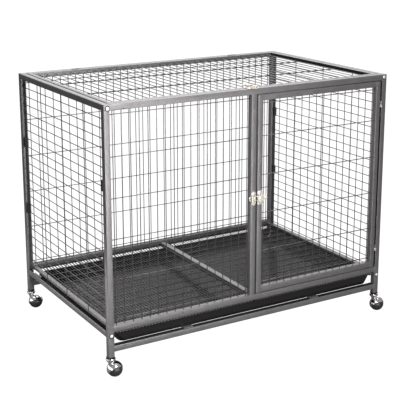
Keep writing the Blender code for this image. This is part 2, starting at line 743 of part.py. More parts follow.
def make_caster_socket(corner, x, y):
    """The black plug in the post's foot, with its flange below the post and a bore for the stem."""
    top = POST_FOOT - GAP
    low = top - SOCKET_FLANGE
    flange = [(middle - SOCKET_HALF, middle + SOCKET_HALF) for middle in (x, y)]
    plug = [(middle - PLUG_HALF, middle + PLUG_HALF) for middle in (x, y)]
    socket = block(f"caster_{corner}_socket", *flange, (low, top), SOCKET_PLASTIC, 0.0015)
    fuse(socket, block(f"caster_{corner}_plug", *plug, (top - 0.002, top + PLUG_LENGTH)))
    bore_end = top + PLUG_LENGTH - 0.003
    bore = STEM_RADIUS + 0.0003
    cut(socket, cylinder(f"caster_{corner}_bore", (x, y, low - 0.01), (x, y, bore_end), bore))


def make_caster_hood(corner, x, y, centre, lean):
    """The chrome hood and bell cup, with the stem that turns in the socket."""
    hood = turned(f"caster_{corner}_hood", hood_profile(), centre, lean, CHROME)
    cup_top = POST_FOOT - GAP - SOCKET_FLANGE - 0.001
    neck = 0.040
    bell = [(0.0152, cup_top), (0.0159, cup_top - 0.0015), (0.0152, cup_top - 0.006)]
    bell += [(0.0122, cup_top - 0.0105), (0.0090, cup_top - 0.0145), (0.0074, cup_top - 0.019)]
    stem_end = POST_FOOT + PLUG_LENGTH - 0.006
    stem = [(0.0, stem_end), (STEM_RADIUS, stem_end), (STEM_RADIUS, cup_top)]
    cup = turned(f"caster_{corner}_cup", stem + bell + [(0.0072, neck), (0.0, neck)], (x, y, 0.0))
    fuse(hood, cup)
    return hood


def hood_profile():
    """Pole, outer dome, flared rim, inner dome, and the boss with the axle's blind bore."""
    inner = HOOD_RADIUS - HOOD_WALL
    bore = AXLE_RADIUS + 0.00025
    dome = [(0.0, HOOD_RADIUS)] + arc(HOOD_RADIUS, 72, 8, 4)
    rim = [(HOOD_RADIUS + 0.0009, 0.0022), (HOOD_RADIUS + 0.0009, 0.0004), (inner, 0.0004)]
    lining = arc(inner, 12, 76, 4)
    boss = [(0.0062, 0.001), (bore, 0.001), (bore, 0.0205), (0.0, 0.0205)]
    return dome + rim + lining + boss


def wheel_profile():
    """The axle's bore, the hub, the hollow round it, the rim and the ball's outer half."""
    bore = AXLE_RADIUS + 0.0003
    hub = [(0.0, -0.018), (bore, -0.018), (bore, -0.0002), (0.006, -0.0002), (0.006, -0.008)]
    hollow = [(0.0195, -0.008), (0.0215, -0.0006)]
    ball = arc(BALL_RADIUS, -1.4, -76, 6)
    return hub + hollow + ball + [(0.0, -BALL_RADIUS)]


def main():
    posts = make_posts()
    rails = make_cross_rails()
    make_door_post()
    make_side_rails()
    make_panel_grilles()
    make_side_grille("left", LEFT, 1)
    make_side_grille("right", RIGHT, -1)
    centre_line = LEFT + LENGTH / 2
    make_door_stops()
    make_floor_grate("left", LEFT + TUBE + 0.001, centre_line)
    make_floor_grate("right", centre_line + 2 * GAP, RIGHT - TUBE - 0.001)
    make_tray_strips()
    make_tray()

    door = make_door()
    door_sleeves = make_door_hinges(door, posts["post_front_right"])
    door_axis = empty("door_axis", (DOOR_HINGE_X, DOOR_HINGE_Y, SILL_Z))
    face = Matrix(((1, 0, 0, DOOR_POST_X), (0, -1, 0, FRONT), (0, 0, -1, LATCH_HEIGHT), (0, 0, 0, 1)))
    _, guide, bolt = make_latch("door_latch", face, 0.0258, 0.0452)
    bolt_slide = empty("door_bolt_slide", face.translation, door_axis)
    carry(door_axis, door, guide, *door_sleeves)
    carry(bolt_slide, bolt)

    lid = make_lid()
    lid_sleeves = make_lid_hinges(lid, rails["rear_top_rail"])
    lid_axis = empty("lid_axis", (CAGE_MIDDLE_X, LID_HINGE_Y, HEIGHT))
    top = Matrix(((0, 0, 1, LID_LATCH_X), (1, 0, 0, FRONT), (0, 1, 0, HEIGHT), (0, 0, 0, 1)))
    _, guide, bolt = make_latch("lid_latch", top, 0.0224, 0.0378)
    bolt_slide = empty("lid_bolt_slide", top.translation, lid_axis)
    carry(lid_axis, lid, guide, *lid_sleeves)
    carry(bolt_slide, bolt)

    for end, y in (("front", FRONT + TUBE / 2), ("rear", BACK - TUBE / 2)):
        for side, x in (("left", LEFT + TUBE / 2), ("right", RIGHT - TUBE / 2)):
            make_caster(f"{end}_{side}", x, y)


main()
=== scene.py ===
"""A welded steel dog cage on ball casters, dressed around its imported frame.

After the studio, the sections follow the cage as it is put together: posts and rails, bottom angles, welded
wire, side panels, floor, tray, door, lid, hinges, latches, casters, small fittings and welds. Everything is
in metres, X along the front, Y from front to back and Z up.
"""

import math

import bmesh
import bpy
from mathutils import Matrix, Vector


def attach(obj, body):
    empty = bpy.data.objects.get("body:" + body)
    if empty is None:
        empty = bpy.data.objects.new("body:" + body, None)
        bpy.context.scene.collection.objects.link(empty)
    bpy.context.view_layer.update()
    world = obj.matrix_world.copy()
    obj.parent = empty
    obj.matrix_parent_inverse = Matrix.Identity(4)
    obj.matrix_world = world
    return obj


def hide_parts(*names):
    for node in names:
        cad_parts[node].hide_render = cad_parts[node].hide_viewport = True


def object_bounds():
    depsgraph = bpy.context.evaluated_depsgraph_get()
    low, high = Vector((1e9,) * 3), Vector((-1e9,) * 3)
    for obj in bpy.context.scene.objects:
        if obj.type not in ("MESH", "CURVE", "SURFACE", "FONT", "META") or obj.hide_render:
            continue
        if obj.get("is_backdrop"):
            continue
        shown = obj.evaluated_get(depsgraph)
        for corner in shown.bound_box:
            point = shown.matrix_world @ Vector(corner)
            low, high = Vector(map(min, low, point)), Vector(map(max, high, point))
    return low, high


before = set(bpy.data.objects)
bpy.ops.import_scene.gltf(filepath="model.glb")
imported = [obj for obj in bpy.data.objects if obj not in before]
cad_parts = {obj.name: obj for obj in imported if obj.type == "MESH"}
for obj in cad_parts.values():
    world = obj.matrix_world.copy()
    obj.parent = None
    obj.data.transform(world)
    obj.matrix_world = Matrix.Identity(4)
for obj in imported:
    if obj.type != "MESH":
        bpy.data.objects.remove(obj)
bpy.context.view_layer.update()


# Studio: a white floor that runs out of the picture, soft lights and the photographer's camera.
# The camera stands left of the cage, at 1.45 m, with a long lens.
LEFT = -0.55875
FRONT = -0.345
EYE = (LEFT - 1.2679, FRONT - 2.6771, 1.4525)
PAN = -30.440
TILT = 76.483
ROLL = -0.144
FOCAL_PIXELS = 1017.8
CENTRE_PIXEL = (192.6, 150.0)
PHOTO_SIDE = 400

lens = bpy.data.cameras.new("photo_camera")
lens.sensor_width = 36.0
lens.lens = FOCAL_PIXELS * lens.sensor_width / PHOTO_SIDE
lens.shift_x = (PHOTO_SIDE / 2 - CENTRE_PIXEL[0]) / PHOTO_SIDE
lens.shift_y = (CENTRE_PIXEL[1] - PHOTO_SIDE / 2) / PHOTO_SIDE
lens.clip_end = 60.0
camera = bpy.data.objects.new("photo_camera", lens)
bpy.context.scene.collection.objects.link(camera)
turn = Matrix.Rotation(math.radians(PAN), 4, "Z")
turn = turn @ Matrix.Rotation(math.radians(TILT), 4, "X") @ Matrix.Rotation(math.radians(ROLL), 4, "Z")
camera.matrix_world = Matrix.Translation(EYE) @ turn
bpy.context.scene.camera = camera
bpy.context.scene.view_settings.view_transform = "Standard"

world = bpy.data.worlds.new("studio")
bpy.context.scene.world = world
world.use_nodes = True
world.node_tree.nodes["Background"].inputs["Color"].default_value = (1.0, 0.98, 0.98, 1.0)
world.node_tree.nodes["Background"].inputs["Strength"].default_value = 0.36

# The floor is the white that the camera sees, and lights nothing. The table, which the camera doesn't see,
# bounces the lights up to the cage.
FLOOR_SIDE = 60.0
for name, height, shade, glow in (("studio_floor", 0.0, 0.0, 1.05), ("studio_table", -0.002, 0.16, 0.0)):
    bpy.ops.mesh.primitive_plane_add(size=FLOOR_SIDE, location=(0.0, 0.0, height))
    sheet = bpy.context.object
    sheet.name = name
    sheet_material = bpy.data.materials.new(name)
    sheet_material.use_nodes = True
    sheet_shader = sheet_material.node_tree.nodes["Principled BSDF"]
    sheet_shader.inputs["Base Color"].default_value = (shade, shade, shade, 1.0)
    sheet_shader.inputs["Roughness"].default_value = 0.9
    sheet_shader.inputs["Emission Color"].default_value = (1.0, 1.0, 1.0, 1.0)
    sheet_shader.inputs["Emission Strength"].default_value = glow
    sheet.data.materials.append(sheet_material)
    sheet.visible_camera = glow > 0.0
    sheet.visible_diffuse = glow == 0.0
    sheet.visible_glossy = glow == 0.0
    sheet.visible_shadow = glow == 0.0
    sheet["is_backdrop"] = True


def softbox(name, place, target, width, height, power):
    """A rectangular soft light that faces the cage."""
    light = bpy.data.lights.new(name, "AREA")
    light.shape = "RECTANGLE"
    light.size = width
    light.size_y = height
    light.energy = power
    lamp = bpy.data.objects.new(name, light)
    bpy.context.scene.collection.objects.link(lamp)
    lamp.location = place
    lamp.rotation_euler = (Vector(target) - Vector(place)).to_track_quat("-Z", "Y").to_euler()
    lamp.visible_camera = False


softbox("front_light", (-0.40, -1.20, 1.22), (-0.50, -0.3, 0.76), 0.2, 0.5, 18.5)
softbox("low_front_light", (-0.2, -2.2, 0.14), (-0.1, -0.3, 0.2), 1.9, 0.24, 20.0)
softbox("top_light", (0.0, 0.6, 2.6), (0.0, 0.0, 0.4), 3.0, 2.4, 70.0)
softbox("back_light", (2.4, 4.0, 1.9), (0.0, 0.0, 0.9), 6.0, 3.0, 72.0)
softbox("low_side_light", (-0.84, 0.05, 0.10), (LEFT, 0.05, 0.15), 1.1, 0.12, 1.1)


# Square tube: posts and rails of 20 mm steel tube under a hammered grey powder coat.
# The coat pools into small bright cells with dark lines between them. The rails are welded to the posts.
class Mask:
    """A number that varies over a surface. Multiplying it adds a Math node."""

    def __init__(self, finish, socket):
        self.finish = finish
        self.socket = socket

    def __mul__(self, other):
        return self.finish.node("Math", {"operation": "MULTIPLY"}, {0: self, 1: other})

    __rmul__ = __mul__


class Finish:
    """A paint, plating or plastic in the making: one material and its nodes."""

    def __init__(self, name, **fixed):
        self.material = bpy.data.materials.new(name)
        self.material.use_nodes = True
        self.tree = self.material.node_tree
        self.shader = self.tree.nodes["Principled BSDF"]
        for socket, value in fixed.items():
            self.shader.inputs[socket.replace("_", " ").title()].default_value = value

    def node(self, kind, settings, sockets, output=0):
        """Add any node: its settings first, then the values or links of its sockets."""
        made = self.tree.nodes.new("ShaderNode" + kind)
        for name, value in settings.items():
            setattr(made, name, value)
        for name, value in sockets.items():
            if isinstance(value, Mask):
                self.tree.links.new(value.socket, made.inputs[name])
            else:
                made.inputs[name].default_value = value
        return Mask(self, made.outputs[output])

    def place(self):
        """Where a point lies on its piece."""
        return self.node("TexCoord", {}, {}, "Object")

    def noise(self, scale, detail):
        """Soft clouds."""
        return self.node("TexNoise", {}, {"Vector": self.place(), "Scale": scale, "Detail": detail})

    def cells(self, scale, smoothness):
        """Rounded cells, as the distance to the middle of the nearest."""
        sockets = {"Vector": self.place(), "Scale": scale, "Smoothness": smoothness}
        return self.node("TexVoronoi", {"feature": "SMOOTH_F1"}, sockets, "Distance")

    def spread(self, value, low, high, to_low=0.0, to_high=1.0):
        """Stretch one range of a value over another."""
        sockets = {"Value": value, "From Min": low, "From Max": high, "To Min": to_low, "To Max": to_high}
        return self.node("MapRange", {}, sockets)

    def mix(self, share, first, second):
        """Blend two colours. Inputs 0, 6 and 7 and output 2 are those of a colour Mix node."""
        return self.node("Mix", {"data_type": "RGBA"}, {0: share, 6: first, 7: second}, 2)

    def feed(self, socket, value):
        """Link a value or colour to a socket of the shader."""
        self.tree.links.new(value.socket, self.shader.inputs[socket])

    def bump(self, height, strength, distance):
        """Raise the surface where a value is high."""
        sockets = {"Height": height, "Strength": strength, "Distance": distance}
        self.feed("Normal", self.node("Bump", {}, sockets))


def grey(value):
    """A grey with a faint pink cast."""
    return (value, value * 0.965, value * 0.985, 1.0)


def hammered(name, dark, light, cell=700.0):
    """Powder coat of dark enamel with bright cells."""
    coat = Finish(name, metallic=0.55)
    pits = coat.cells(cell, 0.6)
    patches = coat.noise(45.0, 3.0)
    share = coat.spread(pits, 0.1, 0.75, 1.0, 0.0) * coat.spread(patches, 0.35, 0.65, 0.75, 1.0)
    coat.feed("Base Color", coat.mix(share, dark, light))
    coat.feed("Roughness", coat.spread(patches, 0.3, 0.7, 0.30, 0.42))
    coat.bump(share, 0.25, 0.0004)
    return coat.material


def pick(kind, test):
    """In edit mode, select only the vertices, edges or faces that pass a test."""
    bpy.ops.mesh.select_mode(type=kind)
    bpy.ops.mesh.select_all(action="DESELECT")
    mesh = bpy.context.object.data
    form = bmesh.from_edit_mesh(mesh)
    for part in {"VERT": form.verts, "EDGE": form.edges, "FACE": form.faces}[kind]:
        part.select_set(test(part))
    bmesh.update_edit_mesh(mesh)


def bar(x, y, z, corner=0.0018, segments=3):
    """A bar between the limits given for each axis, with its long edges rounded."""
    middle = [(low + high) / 2 for low, high in (x, y, z)]
    size = [high - low for low, high in (x, y, z)]
    bpy.ops.object.select_all(action="DESELECT")
    bpy.ops.mesh.primitive_cube_add(size=1.0, location=middle, scale=size)
    bpy.ops.object.transform_apply(location=True, rotation=True, scale=True)
    axis = size.index(max(size))
    bpy.ops.object.mode_set(mode="EDIT")
    pick("EDGE", lambda edge: abs(edge.verts[0].co[axis] - edge.verts[1].co[axis]) > 0.5 * size[axis])
    bpy.ops.mesh.bevel(offset=corner, segments=segments)
    bpy.ops.object.mode_set(mode="OBJECT")
    bpy.ops.object.shade_smooth_by_angle(angle=math.radians(50))
    return bpy.context.object


def join(parts):
    """Make one object of several."""
    bpy.ops.object.select_all(action="DESELECT")
    for part in parts:
        part.select_set(True)
    bpy.context.view_layer.objects.active = parts[0]
    if len(parts) > 1:
        bpy.ops.object.join()
    return parts[0]


def settle(piece, name, material, slot, body, *stands_for):
    """Name and paint a finished piece, and let it ride on its body in place of the CAD nodes."""
    piece.name = name
    piece.data.name = name
    piece.data.materials.clear()
    piece.data.materials.append(material)
    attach(piece, body)
    if stands_for:
        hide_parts(*stands_for)


RIGHT = 0.53125
BACK = 0.345
TOP = 0.880
TUBE = 0.020
UNDER_TOP = TOP - TUBE
POST_FOOT = 0.074
SILL = 0.155
REAR_RAIL = 0.151
LOWER_RAIL = 0.089
DOOR_POST = LEFT + 0.527
BITE = 0.0008
tube_paint = hammered("hammered_tube_paint", grey(0.13), grey(0.30))

for side, x in (("left", (LEFT, LEFT + TUBE)), ("right", (RIGHT - TUBE, RIGHT))):
    for place, y in (("front", (FRONT, FRONT + TUBE)), ("rear", (BACK - TUBE, BACK))):
        post = bar(x, y, (POST_FOOT, TOP))
        bpy.ops.object.mode_set(mode="EDIT")
        pick("EDGE", lambda edge: min(edge.verts[0].co.z, edge.verts[1].co.z) > TOP - 1e-5)
        bpy.ops.mesh.bevel(offset=0.0008, segments=2)
        bpy.ops.object.mode_set(mode="OBJECT")
        settle(post, f"{place}_{side}_post", tube_paint, "grey_paint", "frame", f"post_{place}_{side}")

rail_span = (LEFT + TUBE - BITE, RIGHT - TUBE + BITE)
for name, y, low in (
    ("front_top_rail", FRONT, UNDER_TOP),
    ("front_sill", FRONT, SILL),
    ("front_lower_rail", FRONT, LOWER_RAIL),
    ("rear_top_rail", BACK - TUBE, UNDER_TOP),
    ("rear_bottom_rail", BACK - TUBE, REAR_RAIL),
    ("rear_lower_rail", BACK - TUBE, LOWER_RAIL),
):
    rail = bar(rail_span, (y, y + TUBE), (low, low + TUBE))
    settle(rail, f"{name}_tube", tube_paint, "grey_paint", "frame", name)

bay_up = (SILL + TUBE - BITE, UNDER_TOP + BITE)
post = bar((DOOR_POST, DOOR_POST + TUBE), (FRONT, FRONT + TUBE), bay_up)
settle(post, "middle_post", tube_paint, "grey_paint", "frame", "door_post")

side_span = (FRONT + TUBE - BITE, BACK - TUBE + BITE)
for side, outer in (("left", LEFT), ("right", RIGHT - TUBE)):
    rail = bar((outer, outer + TUBE), side_span, (UNDER_TOP, TOP))
    settle(rail, f"{side}_top_tube", tube_paint, "grey_paint", "frame", f"{side}_top_rail")


# Bottom angles of the side panels: folded steel angle, 20 mm high, 27 mm wide and 1.4 mm thick.
# The upright leg is the outer face. Each end is bolted to its post.
ANGLE_FOOT = 0.1365
ANGLE_WALL = 0.0014
SHELF = 0.027


def thicken(sheet, thickness):
    """Give a thin sheet the thickness of its metal or plastic."""
    wall = sheet.modifiers.new("wall", "SOLIDIFY")
    wall.thickness = thickness
    wall.offset = -1.0
    bpy.ops.object.modifier_apply(modifier=wall.name)


for side, outer, inward in (("left", LEFT, 1.0), ("right", RIGHT, -1.0)):
    middle_x = outer + inward * SHELF / 2
    length = side_span[1] - side_span[0]
    middle = (middle_x, 0.0, ANGLE_FOOT + TUBE / 2)
    bpy.ops.object.select_all(action="DESELECT")
    bpy.ops.mesh.primitive_cube_add(size=1.0, location=middle, scale=(SHELF, length, TUBE))
    bpy.ops.object.transform_apply(location=True, rotation=True, scale=True)
    angle = bpy.context.object
    bpy.ops.object.mode_set(mode="EDIT")
    pick("FACE", lambda face: face.normal.z > 0.5 or face.normal.x * inward > 0.5 or abs(face.normal.y) > 0.5)
    bpy.ops.mesh.delete(type="FACE")
    bpy.ops.object.mode_set(mode="OBJECT")
    thicken(angle, ANGLE_WALL)
    bpy.ops.object.mode_set(mode="EDIT")
    pick("EDGE", lambda edge: abs(edge.verts[0].co.y - edge.verts[1].co.y) > 0.5)
    bpy.ops.mesh.bevel(offset=0.0005, segments=2)
    bpy.ops.object.mode_set(mode="OBJECT")
    bpy.ops.object.shade_smooth_by_angle(angle=math.radians(50))
    settle(angle, f"{side}_angle", tube_paint, "grey_paint", "frame", f"{side}_bottom_rail")


# Welded wire of the front bay and the rear panel: 3 mm wire, uprights in front and cross wires behind.
# The uprights stand on the rails. Each crossing is spot welded, and the wires' ends are welded to the tubes.
WIRE_RADIUS = 0.0015
WIRE_SIDES = 10
LAYER = 0.0030


def repeat(piece, count, step):
    """Copy a piece in a row."""
    row = piece.modifiers.new("row", "ARRAY")
    row.count = count
    row.use_relative_offset = False
    row.use_constant_offset = True
    row.constant_offset_displace = step
    bpy.ops.object.modifier_apply(modifier=row.name)


def wire_row(start, end, count=1, step=(0.0, 0.0, 0.0), radius=WIRE_RADIUS, sides=WIRE_SIDES):
    """Parallel wires. One is drawn and its cut ends are rounded off, then an array repeats it."""
    along = Vector(end) - Vector(start)
    bpy.ops.object.select_all(action="DESELECT")
    bpy.ops.mesh.primitive_cylinder_add(
        vertices=sides,
        radius=radius,
        depth=along.length,
        location=Vector(start) + along / 2,
        rotation=along.to_track_quat("Z", "Y").to_euler(),
    )
    bpy.ops.object.mode_set(mode="EDIT")
    pick("EDGE", lambda edge: abs(edge.verts[0].co.z - edge.verts[1].co.z) < 1e-6)
    bpy.ops.mesh.bevel(offset=0.4 * radius, segments=1)
    bpy.ops.object.mode_set(mode="OBJECT")
    bpy.ops.object.transform_apply(location=True, rotation=True, scale=True)
    bpy.ops.object.shade_smooth_by_angle(angle=math.radians(50))
    repeat(bpy.context.object, count, step)
    return bpy.context.object


def weld_spots(first, size, count, step, rows=1, row_step=(0.0, 0.0, 0.0)):
    """Spots of melted steel where wires cross: a flattened ball, repeated along a wire and then by rows."""
    bpy.ops.object.select_all(action="DESELECT")
    bpy.ops.mesh.primitive_ico_sphere_add(subdivisions=1, radius=1.0, location=first, scale=size)
    bpy.ops.object.transform_apply(location=True, rotation=True, scale=True)
    bpy.ops.object.shade_smooth()
    repeat(bpy.context.object, count, step)
    repeat(bpy.context.object, rows, row_step)
    return bpy.context.object


# The wires' paint is a darker copy of the tubes' coat: painted shade on the thin wires.
wire_paint = hammered("shaded_hammered_wire_paint", grey(0.07), grey(0.16), 1100.0)
SPOT = (0.0021, 0.0018, 0.0021)
IN_TUBE = 0.0083
BAY_WIRES = 17
BAY_ROWS = 6
pitch = (0.03024, 0.0, 0.0)
row_step = (0.0, 0.0, -0.131)
top_row = 0.847
tube_welds = (0.0, 0.0, 0.684)
x = LEFT + 0.0316
y = FRONT + IN_TUBE
cross_start = (rail_span[0], y + LAYER, top_row)
cross_end = (DOOR_POST + BITE, y + LAYER, top_row)
bay = [
    wire_row((x, y, bay_up[0]), (x, y, bay_up[1]), BAY_WIRES, pitch),
    wire_row(cross_start, cross_end, BAY_ROWS, row_step),
    weld_spots((x, y + LAYER / 2, top_row), SPOT, BAY_WIRES, pitch, BAY_ROWS, row_step),
    weld_spots((x, y, SILL + TUBE + 0.0005), SPOT, BAY_WIRES, pitch, 2, tube_welds),
]
settle(join(bay), "front_bay_wires", wire_paint, "grey_paint", "frame", "front_bay_grille")

REAR_WIRES = 35
REAR_ROWS = 6
pitch = (0.0301, 0.0, 0.0)
row_step = (0.0, 0.0, -0.1325)
top_row = 0.8445
lowest_row = 0.1730
tube_welds = (0.0, 0.0, 0.688)
rear_up = (REAR_RAIL + TUBE - BITE, UNDER_TOP + BITE)
x = LEFT + 0.0333
y = BACK - TUBE + IN_TUBE
cross_y = y + LAYER
rear = [
    wire_row((x, y, rear_up[0]), (x, y, rear_up[1]), REAR_WIRES, pitch),
    wire_row((rail_span[0], cross_y, top_row), (rail_span[1], cross_y, top_row), REAR_ROWS, row_step),
    wire_row((rail_span[0], cross_y, lowest_row), (rail_span[1], cross_y, lowest_row)),
    weld_spots((x, y + LAYER / 2, top_row), SPOT, REAR_WIRES, pitch, REAR_ROWS, row_step),
    weld_spots((x, y, REAR_RAIL + TUBE + 0.0005), SPOT, REAR_WIRES, pitch, 2, tube_welds),
]
settle(join(rear), "rear_wires", wire_paint, "grey_paint", "frame", "rear_grille")


# Side panels: two flat steel stiles, 23 wires welded across their outer faces and three uprights.
# A panel stands in the frame between its posts and is held by bolts through the posts.
STILE_WIDTH = 0.016
PANEL_UP = (0.1565, 0.8605)
UPRIGHT_FOOT = 0.1395
SIDE_WIRES = 23
UPRIGHTS = 3
row_step = (0.0, 0.0, 0.03025)
lowest_row = 0.833 - (SIDE_WIRES - 1) * row_step[2]
quarter = (BACK - FRONT) / 4
quarter_step = (0.0, quarter, 0.0)
spot = (0.0018, 0.0021, 0.0021)
front = FRONT + TUBE + 0.002
back = BACK - TUBE - 0.002
stile_step = (0.0, back - front - STILE_WIDTH, 0.0)
for side, outer, inward in (("left", LEFT, 1.0), ("right", RIGHT, -1.0)):
    stile_x = sorted((outer + inward * 0.0095, outer + inward * 0.0125))
    wire_x = outer + inward * 0.0082
    weld_x = wire_x + inward * LAYER / 2
    stile_weld_x = wire_x + inward * 0.0012
    upright_x = wire_x + inward * LAYER
    foot = (upright_x, FRONT + quarter, UPRIGHT_FOOT)
    head = (upright_x, FRONT + quarter, PANEL_UP[1])
    first_start = (wire_x, front + 0.001, lowest_row)
    first_end = (wire_x, back - 0.001, lowest_row)
    panel = [
        bar(stile_x, (front, front + STILE_WIDTH), PANEL_UP, 0.0006, 2),
        bar(stile_x, (back - STILE_WIDTH, back), PANEL_UP, 0.0006, 2),
        wire_row(first_start, first_end, SIDE_WIRES, row_step),
        wire_row(foot, head, UPRIGHTS, quarter_step),
        weld_spots((weld_x, FRONT + quarter, lowest_row), spot, UPRIGHTS, quarter_step, SIDE_WIRES, row_step),
        weld_spots((stile_weld_x, front + 0.008, lowest_row), spot, 2, stile_step, SIDE_WIRES, row_step),
    ]
    settle(join(panel), f"{side}_side_panel", wire_paint, "grey_paint", "frame", f"{side}_side_grille")


# Floor: two lift-out grates of close-set wire in a frame of flat bar; a black strip on their seam is painted
# shade.
# The long wires run on under the sill, where their ends show. Twelve cross wires lie on them.
GRATE_RADIUS = 0.00175
GRATE_SIDES = 8
GRATE_PITCH = 0.0115
GRATE_WIRES = 45
GRATE_LOW = 0.15295
TAIL_LOW = 0.1522
FIRST_CROSS = FRONT + 0.0737
CROSS_WIRES = 12
FLAT_BAR = (0.1568, 0.1648)
END_BAR = (0.1505, 0.1585)
END_BAR_WIDTH = 0.006
SEAM_STRIP = (0.1550, 0.1596)
# The grates' paint is a darker copy of the coat: painted shade on the floor inside the cage.
grate_paint = hammered("shaded_hammered_grate_paint", grey(0.045), grey(0.12), 1100.0)
# Near-black paint: painted shade on the grate seam, door stops and lid strips, and the dark washers and
# screws.
shade_and_fitting_paint = hammered("painted_shade_and_dark_fitting_paint", grey(0.006), grey(0.020), 1100.0)
centre_line = (LEFT + RIGHT) / 2
pitch = (GRATE_PITCH, 0.0, 0.0)
step = (0.0, 0.0497, 0.0)
spot = (0.0019, 0.0019, 0.0016)
y = (FRONT + TUBE + 0.001, BACK - TUBE - 0.001)
cross_z = GRATE_LOW + 2 * GRATE_RADIUS - 0.0002
for side, start, end in (
    ("left", LEFT + TUBE + 0.001, centre_line),
    ("right", centre_line + 0.0006, RIGHT - TUBE - 0.001),
):
    x = start + (end - start - (GRATE_WIRES - 1) * GRATE_PITCH) / 2
    if side == "left":
        bars = [bar((start - 0.004, start + 0.012), y, FLAT_BAR, 0.0007, 2)]
        seam = bar((end - 0.0060, end + 0.0050), y, SEAM_STRIP, 0.0007, 2)
        settle(seam, "grate_seam_painted_shade", shade_and_fitting_paint, "grey_paint", "frame")
    else:
        bars = [bar((start + 0.004, start + 0.0235), y, FLAT_BAR, 0.0007, 2)]
        bars.append(bar((end - 0.012, end + 0.004), y, FLAT_BAR, 0.0007, 2))
    settle(join(bars), f"{side}_grate_bars", tube_paint, "grey_paint", "frame")
    long_start = (x, FRONT + 0.003, GRATE_LOW)
    long_end = (x, BACK - 0.003, GRATE_LOW)
    cross_start = (start + 0.001, FIRST_CROSS, cross_z)
    cross_end = (end - 0.001, FIRST_CROSS, cross_z)
    weld = (x, FIRST_CROSS, GRATE_LOW + GRATE_RADIUS)
    grate = [
        wire_row(long_start, long_end, GRATE_WIRES, pitch, GRATE_RADIUS, GRATE_SIDES),
        wire_row(cross_start, cross_end, CROSS_WIRES, step, GRATE_RADIUS, GRATE_SIDES),
        weld_spots(weld, spot, GRATE_WIRES, pitch, CROSS_WIRES, step),
    ]
    tail_start = (x, FRONT + 0.0006, TAIL_LOW)
    tail_end = (x, FRONT + 0.019, TAIL_LOW)
    tails = wire_row(tail_start, tail_end, GRATE_WIRES, pitch, GRATE_RADIUS, GRATE_SIDES)
    settle(tails, f"{side}_grate_wire_ends", tube_paint, "grey_paint", "frame")
    for low_y in (y[0], y[1] - END_BAR_WIDTH):
        end_bar_y = (low_y, low_y + END_BAR_WIDTH)
        grate.append(bar((start + 0.0003, end - 0.0003), end_bar_y, END_BAR, 0.0006, 2))
    settle(join(grate), f"{side}_grate", grate_paint, "grey_paint", "frame", f"floor_grate_{side}")


# Tray strips: two flat steel bars from the front lower rail to the rear one, welded on.
# The tray slides on them. A thin black strip on top of each of the two rails is painted shade under the tray.
STRIP_HALF = 0.0175
STRIP_UP = (0.1092, 0.1130)
SHADE_STRIP_UP = (0.1087, 0.1095)
SHADE_STRIP_WIDTH = 0.0176
for side, offset in (("left", 0.290), ("right", 0.800)):
    x = LEFT + offset
    strip = bar((x - STRIP_HALF, x + STRIP_HALF), (FRONT + 0.002, BACK - 0.002), STRIP_UP, 0.0008, 2)
    settle(strip, f"{side}_tray_strip", tube_paint, "grey_paint", "frame", f"tray_support_{side}")

# A near-black rough finish for the strips on the rails' tops: painted shade under the tray.
shade_strip_plastic = Finish("black_shade_strip_plastic", roughness=0.75)
grain = shade_strip_plastic.noise(700.0, 3.0)
shade_strip_plastic.feed("Base Color", shade_strip_plastic.mix(grain, grey(0.003), grey(0.008)))
shade_strip_x = (LEFT + TUBE + 0.0004, RIGHT - TUBE - 0.0004)
for name, y in (("front", FRONT + 0.0012), ("rear", BACK - TUBE + 0.0012)):
    shade_strip = bar(shade_strip_x, (y, y + SHADE_STRIP_WIDTH), SHADE_STRIP_UP, 0.0002, 1)
    settle(shade_strip, f"{name}_tray_glide", shade_strip_plastic.material, "socket_black", "frame")


# Tray: a deep pan of glossy black plastic, formed in one piece.
# Its walls lean outwards, its corners are round and its rim is rolled out and down.
TRAY_LOW = (LEFT + 0.048, FRONT + 0.016, 0.1133)
TRAY_LOW_SIZE = (0.994, 0.616)
TRAY_HIGH = (LEFT + 0.0250, FRONT + 0.0148, 0.1490)
TRAY_HIGH_SIZE = (1.040, 0.6185)
TRAY_CORNER = 0.014
TRAY_WALL = 0.0020
bpy.ops.object.select_all(action="DESELECT")
bpy.ops.mesh.primitive_cube_add(size=1.0, location=(0.5, 0.5, 0.5))
bpy.ops.object.transform_apply(location=True, rotation=True, scale=True)
tray = bpy.context.object
bpy.ops.object.mode_set(mode="EDIT")
form = bmesh.from_edit_mesh(tray.data)
for vert in form.verts:
    corner, size = (TRAY_HIGH, TRAY_HIGH_SIZE) if vert.co.z > 0.5 else (TRAY_LOW, TRAY_LOW_SIZE)
    vert.co = (corner[0] + size[0] * vert.co.x, corner[1] + size[1] * vert.co.y, corner[2])
bmesh.update_edit_mesh(tray.data)
pick("EDGE", lambda edge: abs(edge.verts[0].co.z - edge.verts[1].co.z) > 0.01)
bpy.ops.mesh.bevel(offset=TRAY_CORNER, segments=8)
pick("FACE", lambda face: face.normal.z > 0.9)
bpy.ops.mesh.delete(type="FACE")
pick("EDGE", lambda edge: max(edge.verts[0].co.z, edge.verts[1].co.z) < 0.12)
bpy.ops.mesh.bevel(offset=0.0022, segments=3)
pick("EDGE", lambda edge: edge.is_boundary)
middle = Vector((TRAY_HIGH[0] + TRAY_HIGH_SIZE[0] / 2, TRAY_HIGH[1] + TRAY_HIGH_SIZE[1] / 2, TRAY_HIGH[2]))
for reach, drop in ((0.0004, -0.0001), (0.0012, 0.0), (0.0006, -0.0008), (0.0003, -0.0020), (0.0, -0.0030)):
    grow = (1 + 2 * reach / TRAY_HIGH_SIZE[0], 1 + 2 * reach / TRAY_HIGH_SIZE[1], 1.0)
    bpy.ops.mesh.extrude_region_move(TRANSFORM_OT_translate={"value": (0.0, 0.0, drop)})
    bpy.ops.transform.resize(value=grow, center_override=middle)
bpy.ops.mesh.select_all(action="SELECT")
